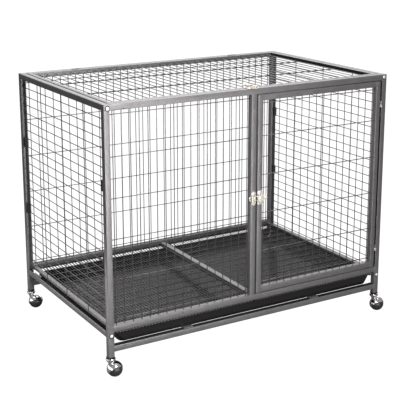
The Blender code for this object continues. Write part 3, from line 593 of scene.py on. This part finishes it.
bpy.ops.mesh.normals_make_consistent(inside=False)
bpy.ops.object.mode_set(mode="OBJECT")
thicken(tray, TRAY_WALL)
bpy.ops.object.shade_smooth_by_angle(angle=math.radians(40))
gloss = Finish("glossy_black_plastic", base_color=grey(0.010), roughness=0.16)
settle(tray, "tray_pan", gloss.material, "tray_black", "tray", "tray_floor", "tray_walls")


# Door: a leaf of the same square tube, with its wires welded between the tubes.
# It stands on two barrel hinges at the right, and closes against thin stops behind its upright edges.
# The stops are painted near-black as the shade in the door's gaps.
# The stop at the hinges has a second leg, which comes forward along the post.
DOOR_X = (LEFT + 0.5525, RIGHT - 0.0235)
DOOR_UP = (0.177, 0.8578)
HINGE_STILE = 0.0186
front_back = (FRONT, FRONT + TUBE)
inner = (DOOR_X[0] + TUBE - BITE, DOOR_X[1] - TUBE + BITE)
door_leaf = [
    bar((DOOR_X[0], DOOR_X[0] + TUBE), front_back, DOOR_UP),
    bar((DOOR_X[1] - TUBE, DOOR_X[1] - TUBE + HINGE_STILE), front_back, DOOR_UP),
    bar(inner, front_back, (DOOR_UP[0], DOOR_UP[0] + TUBE)),
    bar(inner, front_back, (DOOR_UP[1] - TUBE, DOOR_UP[1])),
]
settle(join(door_leaf), "door_tubes", tube_paint, "grey_paint", "door", "door_leaf")

DOOR_WIRES = 16
pitch = (0.0302, 0.0, 0.0)
door_up = (DOOR_UP[0] + TUBE - BITE, DOOR_UP[1] - TUBE + BITE)
x = LEFT + 0.582
y = FRONT + IN_TUBE
wires = [wire_row((x, y, door_up[0]), (x, y, door_up[1]), DOOR_WIRES, pitch)]
for height, rows, drop in ((0.828, 1, 0.0), (0.718, 4, -0.1316), (0.212, 1, 0.0)):
    step = (0.0, 0.0, drop)
    wires.append(wire_row((inner[0], y + LAYER, height), (inner[1], y + LAYER, height), rows, step))
    wires.append(weld_spots((x, y + LAYER / 2, height), SPOT, DOOR_WIRES, pitch, rows, step))
settle(join(wires), "door_wires", wire_paint, "grey_paint", "door")

# The stops take the near-black paint: painted shade in the gaps beside the door.
STOP_Y = (FRONT + 0.0203, FRONT + 0.0221)
STOP_UP = (0.1765, 0.8585)
LEG_X = (RIGHT - TUBE - 0.0016, RIGHT - TUBE + 0.0008)
LEG_Y = (FRONT + 0.0001, FRONT + 0.0210)
for name, x in (
    ("door_stop_latch_side", (DOOR_POST + 0.008, DOOR_X[0] + 0.010)),
    ("door_stop_hinge_side", (DOOR_X[1] - 0.010, RIGHT - 0.0145)),
):
    stop = [bar(x, STOP_Y, STOP_UP, 0.0005, 2)]
    if name == "door_stop_hinge_side":
        stop.append(bar(LEG_X, LEG_Y, STOP_UP, 0.0003, 2))
    settle(join(stop), f"{name}_strip", shade_and_fitting_paint, "grey_paint", "frame", name)


# Lid: a flat frame of tube 14 mm high, let into the top. It hinges on the rear top rail.
# The tubes at the front and rear are 16 mm wide. Those at the sides are 13 mm wide, between thin strips
# painted near-black as the shade of the gaps beside them.
# The long wires run from front to back, and two thicker wires are welded across under them.
# The cross wires are painted near-black as the shade under the long wires.
LID_X = (LEFT + 0.022, RIGHT - 0.022)
LID_Y = (FRONT + 0.022, BACK - 0.022)
LID_UP = (0.866, TOP)
LID_TUBE = 0.016
SIDE_INSET = 0.0030
inner = (LID_X[0] + LID_TUBE - BITE, LID_X[1] - LID_TUBE + BITE)
lid = [
    bar((LID_X[0] + SIDE_INSET, LID_X[0] + LID_TUBE), LID_Y, LID_UP, 0.0007),
    bar((LID_X[1] - LID_TUBE, LID_X[1] - SIDE_INSET), LID_Y, LID_UP, 0.0007),
    bar(inner, (LID_Y[0], LID_Y[0] + LID_TUBE), LID_UP, 0.0015),
    bar(inner, (LID_Y[1] - LID_TUBE, LID_Y[1]), LID_UP, 0.0015),
]
settle(join(lid), "lid_tubes", tube_paint, "grey_paint", "lid", "lid_leaf")

# Thin near-black strips on both sides of each side tube: painted shade of the gaps.
LID_GAP_SHADE = 0.0016
LID_GAP_SHADE_UP = (0.868, 0.8797)
strip_y = (LID_Y[0] + 0.001, LID_Y[1] - 0.001)
strips = []
for x in (LID_X[0] + 0.0014, LID_X[0] + 0.0157, LID_X[1] - 0.0173, LID_X[1] - 0.0030):
    strips.append(bar((x, x + LID_GAP_SHADE), strip_y, LID_GAP_SHADE_UP, 0.0003, 2))
settle(join(strips), "lid_gap_shade_strips", shade_and_fitting_paint, "grey_paint", "lid")

LID_WIRES = 33
CROSS_RADIUS = 0.0020
pitch = (0.0301, 0.0, 0.0)
step = (0.0, 0.210, 0.0)
spot = (0.0021, 0.0021, 0.0018)
deep = (LID_Y[0] + LID_TUBE - BITE, LID_Y[1] - LID_TUBE + BITE)
x = LEFT + 0.0634
y = FRONT + 0.240
level = 0.873
under = level - LAYER
lid_wire_paint = hammered("hammered_lid_wire_paint", grey(0.13), grey(0.30), 1100.0)
long_wires = wire_row((x, deep[0], level), (x, deep[1], level), LID_WIRES, pitch)
settle(long_wires, "lid_long_wires", lid_wire_paint, "grey_paint", "lid")
wires = [
    wire_row((inner[0], y, under), (inner[1], y, under), 2, step, CROSS_RADIUS),
    weld_spots((x, y, level - LAYER / 2), spot, LID_WIRES, pitch, 2, step),
]
# The cross wires take a near-black copy of the lid wires' paint: painted shade.
shaded_cross_paint = hammered("shaded_lid_cross_wire_paint", grey(0.015), grey(0.05), 1100.0)
settle(join(wires), "lid_cross_wires", shaded_cross_paint, "grey_paint", "lid")


# Hinges: short barrels of turned steel, welded into the gap beside each leaf.
# The fixed half is below, or at the left on the lid, and its pin runs on inside the leaf's sleeve.
# The door's fixed halves are painted a light grey, far lighter than the rest of the hinge.
def turned(rings, place, lean=(0.0, 0.0, 0.0), sides=24):
    """A round piece drawn up from a disc: each ring is extruded from the last one and resized."""
    bpy.ops.object.select_all(action="DESELECT")
    bpy.ops.mesh.primitive_circle_add(
        vertices=sides, radius=rings[0][0], fill_type="NGON", location=(0.0, 0.0, rings[0][1])
    )
    bpy.ops.object.transform_apply(location=True, rotation=True, scale=True)
    piece = bpy.context.object
    bpy.ops.object.mode_set(mode="EDIT")
    bpy.ops.mesh.select_all(action="SELECT")
    for last, ring in zip(rings, rings[1:]):
        bpy.ops.mesh.extrude_region_move(TRANSFORM_OT_translate={"value": (0.0, 0.0, ring[1] - last[1])})
        grow = ring[0] / last[0]
        bpy.ops.transform.resize(value=(grow, grow, 1.0), center_override=(0.0, 0.0, ring[1]))
    bpy.ops.mesh.select_all(action="SELECT")
    bpy.ops.mesh.normals_make_consistent(inside=False)
    bpy.ops.object.mode_set(mode="OBJECT")
    piece.location = place
    piece.rotation_euler = lean
    bpy.ops.object.transform_apply(location=True, rotation=True, scale=True)
    bpy.ops.object.shade_smooth_by_angle(angle=math.radians(35))
    return piece


def knuckle(place, lean, radius, start, end):
    """Half of a hinge barrel, with its edges turned off."""
    edge = 0.0006
    rings = [(radius - edge, start), (radius, start + edge), (radius, end - edge), (radius - edge, end)]
    return turned(rings, place, lean)


def hinge(leaf, place, centre, lean, radii, half, root, fixed_paint):
    """The barrel with its pin on the frame, and the sleeve on the leaf, to either side of a centre."""
    outer, core = radii
    barrel = knuckle(centre, lean, outer, -half, -BARREL_PLAY)
    pin = join([barrel, knuckle(centre, lean, core, root, half + 0.0002)])
    node = f"{leaf}_hinge_{place}"
    settle(pin, f"{leaf}_{place}_hinge_pin", fixed_paint, "grey_paint", "frame", f"{node}_pin")
    sleeve = knuckle(centre, lean, outer, BARREL_PLAY, half)
    settle(sleeve, f"{leaf}_{place}_hinge_sleeve", hinge_paint, "grey_paint", leaf, f"{node}_sleeve")


BARREL_PLAY = 0.0003
DOOR_BARREL = (0.0042, 0.0021)
LID_BARREL = (0.0026, 0.0014)
ALONG_X = (0.0, math.radians(90.0), 0.0)
hinge_paint = hammered("hammered_hinge_paint", grey(0.12), grey(0.28), 1500.0)
pin_paint = hammered("light_grey_hinge_pin_paint", grey(0.40), grey(0.80), 1500.0)
for place, height in (("lower", 0.249), ("upper", 0.777)):
    centre = (RIGHT - 0.02175, FRONT - 0.0005, height)
    hinge("door", place, centre, (0.0, 0.0, 0.0), DOOR_BARREL, 0.011, -0.006, pin_paint)
for place, offset in (("left", -0.332), ("right", 0.332)):
    centre = (centre_line + offset, BACK - 0.021, TOP)
    hinge("lid", place, centre, ALONG_X, LID_BARREL, 0.018, -0.009, hinge_paint)


# Slide latches: nickel-plated castings on the door and on the lid.
# Each has a keeper with a bridge and a padlock ear on the cage, and a guide and a bolt on the leaf.
def nickel_plate(name, stain):
    """Warm nickel with cloudy grey stains and a cast grain."""
    plate = Finish(name, metallic=0.45)
    stains = plate.noise(260.0, 4.0)
    grain = plate.noise(1400.0, 2.0)
    share = plate.spread(stains, 0.38, 0.62)
    dull = (stain, stain * 0.92, stain * 0.80, 1.0)
    clean = (0.88, 0.84, 0.76, 1.0)
    plate.feed("Base Color", plate.mix(share, dull, clean))
    plate.feed("Roughness", plate.spread(grain, 0.3, 0.7, 0.22, 0.45))
    plate.bump(grain, 0.35, 0.0003)
    return plate.material


def drill(piece, place, radius):
    """Bore an upright round hole through a casting."""
    bpy.ops.object.select_all(action="DESELECT")
    bpy.ops.mesh.primitive_cylinder_add(vertices=20, radius=radius, depth=0.02, location=place)
    tool = bpy.context.object
    cut = piece.modifiers.new("bore", "BOOLEAN")
    cut.object = tool
    cut.solver = "EXACT"
    bpy.context.view_layer.objects.active = piece
    bpy.ops.object.modifier_apply(modifier=cut.name)
    bpy.data.objects.remove(tool)


def bridge(along, half, low, high, wall):
    """A strap over the bolt: two cheeks and a bar across them."""
    return [
        bar(along, (-half, wall - half), (low, high - 0.0006), 0.0004, 2),
        bar(along, (half - wall, half), (low, high - 0.0006), 0.0004, 2),
        bar(along, (-half, half), (high - wall, high), 0.0006, 3),
    ]


def seat(parts, place, lean):
    """Join the parts of a casting and stand it on its tube."""
    casting = join(parts)
    casting.location = place
    casting.rotation_euler = lean
    bpy.ops.object.transform_apply(location=True, rotation=True, scale=True)
    return casting


PLATE = (0.0003, 0.0018)
PADLOCK_HOLE = 0.0024
UPRIGHT = (math.radians(90.0), 0.0, 0.0)
ACROSS_TOP = (0.0, 0.0, math.radians(90.0))
lobe = [(0.0086, 0.0004), (0.0090, 0.0007), (0.0090, 0.0018), (0.0083, 0.0022)]
rivet = [(0.0034, 0.0020), (0.0034, 0.0028), (0.0027, 0.0036), (0.0012, 0.0040)]
ear_disc = [(0.0108, 0.0004), (0.0112, 0.0007), (0.0112, 0.0016), (0.0105, 0.0019)]
stud = [(0.0036, 0.0015), (0.0036, 0.0026), (0.0028, 0.0034), (0.0012, 0.0038)]
nose = [(0.0074, 0.0023), (0.0080, 0.0029), (0.0080, 0.0062), (0.0074, 0.0068)]
knob = [(0.0030, 0.0060), (0.0027, 0.0085), (0.0036, 0.0094), (0.0036, 0.0108), (0.0026, 0.0115)]
nickel = nickel_plate("cast_nickel_plate", 0.36)
# The bolts take a lighter copy of the nickel: painted light on bolts that lie in the keepers' shade.
lit_bolt_nickel = nickel_plate("lit_copy_nickel_plate", 0.66)
for leaf, place, lean, (start, end) in (
    ("door", (DOOR_POST, FRONT, 0.513), UPRIGHT, (0.0258, 0.0452)),
    ("lid", (DOOR_POST + 0.010, FRONT, TOP), ACROSS_TOP, (0.0224, 0.0378)),
):
    keeper = [bar((0.0013, 0.0187), (-0.015, 0.015), PLATE, 0.0004, 2)]
    for across in (-0.015, 0.015):
        keeper.append(turned(lobe, (0.0100, across, 0.0)))
        keeper.append(turned(rivet, (0.0100, across, 0.0)))
    ear = turned(ear_disc, (0.0030, 0.0, 0.0), sides=32)
    drill(ear, (-0.0047, 0.0, 0.0), PADLOCK_HOLE)
    keeper.append(ear)
    keeper.extend(bridge((-0.0015, 0.0065), 0.012, 0.0012, 0.0092, 0.0018))
    for across in (-0.0095, 0.0095):
        keeper.append(bar((0.0065, 0.0175), (across - 0.0012, across + 0.0012), (0.0012, 0.0034), 0.0005, 2))
    settle(seat(keeper, place, lean), f"{leaf}_keeper", nickel, "nickel", "frame", f"{leaf}_latch_keeper")

    middle = (start + end) / 2
    guide = [
        bar((start, end), (-0.022, 0.022), PLATE, 0.0004, 2),
        bar((start + 0.002, end - 0.002), (-0.024, 0.024), (0.0004, 0.0017), 0.0004, 2),
    ]
    guide.extend(bridge((start + 0.001, end - 0.0005), 0.0118, 0.0012, 0.0092, 0.0017))
    for along in (middle - 0.0045, middle + 0.0045):
        guide.append(bar((along - 0.0018, along + 0.0018), (-0.004, 0.004), (0.0087, 0.0104), 0.0006, 2))
    for across in (-0.0182, 0.0182):
        guide.append(turned(stud, (middle, across, 0.0)))
    settle(seat(guide, place, lean), f"{leaf}_bolt_guide", nickel, "nickel", leaf, f"{leaf}_latch_guide")

    bolt = [
        bar((0.0155, 0.0595), (-0.008, 0.008), (0.0023, 0.0068), 0.0007, 2),
        turned(nose, (0.0155, 0.0, 0.0)),
        turned(knob, (0.0555, 0.0, 0.0)),
    ]
    bolt = seat(bolt, place, lean)
    settle(bolt, f"{leaf}_slide_bolt", lit_bolt_nickel, "nickel", f"{leaf}_bolt", f"{leaf}_latch_bolt")


# Ball casters: a black socket in each post's foot, a chromed hood with a bell cup and a half-ball wheel.
# The stem turns in the socket, and the wheel turns on a short axle that is tilted under the hood.
def chrome_plate():
    """Bright plating with faint clouds of dull metal."""
    chrome = Finish("chrome_plate", metallic=1.0)
    clouds = chrome.noise(120.0, 3.0)
    chrome.feed("Base Color", chrome.mix(clouds, grey(0.70), grey(0.90)))
    chrome.feed("Roughness", chrome.spread(clouds, 0.3, 0.7, 0.05, 0.16))
    return chrome.material


def wheel_tyre():
    """Hard dark rubber with faint scuffs."""
    tyre = Finish("dark_wheel_rubber")
    scuffs = tyre.noise(320.0, 4.0)
    tyre.feed("Base Color", tyre.mix(tyre.spread(scuffs, 0.4, 0.7), grey(0.020), grey(0.050)))
    tyre.feed("Roughness", tyre.spread(scuffs, 0.3, 0.7, 0.24, 0.42))
    tyre.bump(scuffs, 0.15, 0.0003)
    return tyre.material


def plain_plastic(name, shade, low, high):
    """Moulded plastic with a fine spark grain."""
    plastic = Finish(name)
    grain = plastic.noise(900.0, 3.0)
    plastic.feed("Base Color", plastic.mix(grain, grey(shade), grey(shade * 1.6)))
    plastic.feed("Roughness", plastic.spread(grain, 0.3, 0.7, low, high))
    plastic.bump(grain, 0.2, 0.0002)
    return plastic.material


def zinc_plate():
    """Bright zinc with a spangle of crystals."""
    zinc = Finish("zinc_plate", metallic=1.0)
    spangle = zinc.cells(600.0, 0.3)
    zinc.feed("Base Color", zinc.mix(spangle, grey(0.45), grey(0.75)))
    zinc.feed("Roughness", zinc.spread(spangle, 0.0, 0.8, 0.20, 0.38))
    return zinc.material


chrome = chrome_plate()
tyre = wheel_tyre()
socket_plastic = plain_plastic("black_socket_plastic", 0.012, 0.35, 0.5)
zinc = zinc_plate()
BALL = 0.025
HOOD = 0.0263
HOOD_WALL = 0.0012
LIP = 0.004
OFF_STEM = 0.016
POLE_LEAN = math.radians(-50.0)
LIP_LEAN = math.radians(-39.0)
CUP_TOP = 0.0672
bell = [
    (0.0040, 0.108),
    (0.0040, CUP_TOP - 0.0004),
    (0.0146, CUP_TOP),
    (0.0154, CUP_TOP - 0.0006),
    (0.0159, CUP_TOP - 0.0018),
    (0.0158, CUP_TOP - 0.0040),
    (0.0150, CUP_TOP - 0.0064),
    (0.0136, CUP_TOP - 0.0088),
    (0.0118, CUP_TOP - 0.0110),
    (0.0098, CUP_TOP - 0.0132),
    (0.0084, CUP_TOP - 0.0160),
    (0.0076, CUP_TOP - 0.0190),
    (0.0076, 0.0450),
]
axle_head = [
    (0.0040, HOOD - 0.001),
    (0.0038, HOOD + 0.0002),
    (0.0028, HOOD + 0.0006),
    (0.0010, HOOD + 0.0008),
]
axle_pin = [(0.0016, -0.0172), (0.0020, -0.0168), (0.0020, 0.0200)]


def along_lean(lean, turn):
    """The direction of a ball's pole when it leans back by an angle and turns about the stem."""
    return Matrix.Rotation(turn, 3, "Z") @ Matrix.Rotation(lean, 3, "X") @ Vector((0.0, 0.0, 1.0))


def ball(radius, centre, turn):
    """A ball with its pole along the axle, left in edit mode with everything selected."""
    bpy.ops.object.select_all(action="DESELECT")
    bpy.ops.mesh.primitive_uv_sphere_add(
        segments=48, ring_count=24, radius=radius, location=centre, rotation=(POLE_LEAN, 0.0, turn)
    )
    bpy.ops.object.transform_apply(location=True, rotation=True, scale=True)
    bpy.ops.object.mode_set(mode="EDIT")
    bpy.ops.mesh.select_all(action="SELECT")
    return bpy.context.object


for corner, x, y, degrees in (
    ("front_left", LEFT + 0.010, FRONT + 0.010, 13.0),
    ("front_right", RIGHT - 0.010, FRONT + 0.010, 1.5),
    ("rear_left", LEFT + 0.010, BACK - 0.010, -8.0),
    ("rear_right", RIGHT - 0.010, BACK - 0.010, 4.0),
):
    turn = math.radians(degrees)
    centre = Vector((x + OFF_STEM * math.cos(turn), y + OFF_STEM * math.sin(turn), BALL))
    axle_lean = (POLE_LEAN, 0.0, turn)
    swivel = f"caster_{corner}_swivel"
    pole = along_lean(POLE_LEAN, turn)
    lip = along_lean(LIP_LEAN, turn)
    socket = [
        bar((x - 0.0102, x + 0.0102), (y - 0.0102, y + 0.0102), (0.0682, 0.0737), 0.0012, 2),
        bar((x - 0.0081, x + 0.0081), (y - 0.0081, y + 0.0081), (0.0720, 0.1130), 0.0010, 2),
    ]
    socket = join(socket)
    settle(socket, f"{corner}_socket", socket_plastic, "socket_black", "frame", f"caster_{corner}_socket")

    hood = ball(HOOD, centre, turn)
    bpy.ops.mesh.bisect(plane_co=centre - lip * LIP, plane_no=lip)
    bpy.ops.mesh.select_all(action="SELECT")
    bpy.ops.mesh.bisect(plane_co=centre, plane_no=pole, threshold=1e-6)

    def open_side(face):
        middle = face.calc_center_median() - centre
        return middle.dot(pole) < 0.0 and middle.dot(lip) < -LIP

    pick("FACE", open_side)
    bpy.ops.mesh.delete(type="FACE")
    bpy.ops.object.mode_set(mode="OBJECT")
    thicken(hood, HOOD_WALL)
    bpy.ops.object.shade_smooth_by_angle(angle=math.radians(40))
    cup = turned(bell, (x, y, 0.0), sides=32)
    hood = join([hood, cup, turned(axle_head, centre, axle_lean)])
    settle(hood, f"{corner}_hood", chrome, "chrome", swivel, f"caster_{corner}_hood")

    axle = turned(axle_pin, centre, axle_lean, 16)
    settle(axle, f"{corner}_axle", zinc, "zinc_steel", swivel, f"caster_{corner}_axle")

    wheel = ball(BALL, centre, turn)
    bpy.ops.mesh.bisect(plane_co=centre - pole * 0.0005, plane_no=pole, use_fill=True, clear_outer=True)
    pick("FACE", lambda face: len(face.verts) > 8 and face.normal.dot(pole) > 0.9)
    bpy.ops.mesh.inset(thickness=0.0035)
    bpy.ops.mesh.extrude_region_move(TRANSFORM_OT_translate={"value": pole * -0.008})
    bpy.ops.mesh.inset(thickness=0.0135)
    bpy.ops.mesh.extrude_region_move(TRANSFORM_OT_translate={"value": pole * 0.0078})
    bpy.ops.object.mode_set(mode="OBJECT")
    bpy.ops.object.shade_smooth_by_angle(angle=math.radians(35))
    settle(wheel, f"{corner}_wheel", tyre, "wheel_rubber", f"caster_{corner}_wheel", f"caster_{corner}_wheel")


# Small fittings: bright domed bolts with dark washers, two small dark screws and black plastic clips.
# The bolts go through the corners of the posts and join the side panels to the front and rear frames.
# The screws are in the front rails, and a clip sits where a side panel's stile meets its post.
bright = Finish("bright_bolt_zinc", metallic=0.7)
flecks = bright.noise(500.0, 3.0)
bright.feed("Base Color", bright.mix(flecks, grey(0.80), grey(0.95)))
bright.feed("Roughness", bright.spread(flecks, 0.3, 0.7, 0.35, 0.5))
dome = [(0.0060, 0.0), (0.0062, 0.0010), (0.0056, 0.0024), (0.0041, 0.0034), (0.0018, 0.0039)]
washer = [(0.0080, 0.0), (0.0082, 0.0003), (0.0079, 0.0006)]
screw_head = [(0.0021, 0.0), (0.0023, 0.0005), (0.0015, 0.0012)]
bolts = []
washers = []
for x, height in (
    (LEFT + 0.010, 0.144),
    (RIGHT - 0.010, 0.144),
    (LEFT + 0.0130, 0.8672),
    (RIGHT - 0.0125, 0.8708),
):
    for y, degrees in ((FRONT + 0.0001, 90.0), (BACK - 0.0001, -90.0)):
        lean = (math.radians(degrees), 0.0, 0.0)
        bolts.append(turned(dome, (x, y, height), lean))
        washers.append(turned(washer, (x, y, height), lean))
settle(join(bolts), "corner_bolts", bright.material, "chrome", "frame")
settle(join(washers), "bolt_washers", shade_and_fitting_paint, "grey_paint", "frame")
screws = []
for x, height in ((LEFT + 0.066, 0.8634), (LEFT + 0.268, 0.170)):
    screws.append(turned(screw_head, (x, FRONT + 0.0001, height), UPRIGHT))
settle(join(screws), "rail_screws", shade_and_fitting_paint, "grey_paint", "frame")

CLIP_DEEP = 0.0124
CLIP_HALF_HEIGHT = 0.017
clip_plastic = plain_plastic("black_clip_plastic", 0.004, 0.5, 0.7)
clips = []
for outer, inward in ((LEFT, 1.0), (RIGHT, -1.0)):
    across = sorted((outer + inward * 0.0008, outer + inward * 0.0160))
    for y, heights in ((FRONT + TUBE + 0.0004, (0.391, 0.627)), (BACK - TUBE - 0.0128, (0.391, 0.635))):
        for height in heights:
            up = (height - CLIP_HALF_HEIGHT, height + CLIP_HALF_HEIGHT)
            clips.append(bar(across, (y, y + CLIP_DEEP), up, 0.0016, 3))
settle(join(clips), "panel_clips", clip_plastic, "socket_black", "frame")


# Welds: short beads of melted steel where the rails meet the posts, under the same paint.
# The sill and the rear bottom rail have one on each edge at both ends, the top rails on the lower edge only,
# and the lower rails on the upper edge only.
bead = (0.0014, 0.0050, 0.0012)
start = LEFT + TUBE + 0.0002
across = (RIGHT - LEFT - 2 * TUBE - 0.0004, 0.0, 0.0)
lower_weld = LOWER_RAIL + TUBE
welds = []
for y, rail_foot in ((FRONT + TUBE / 2, SILL), (BACK - TUBE / 2, REAR_RAIL)):
    for height in (lower_weld, rail_foot, rail_foot + TUBE, UNDER_TOP):
        welds.append(weld_spots((start, y, height), bead, 2, across))
settle(join(welds), "rail_welds", tube_paint, "grey_paint", "frame")


# Size: the box of the dressed cage.
low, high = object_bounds()
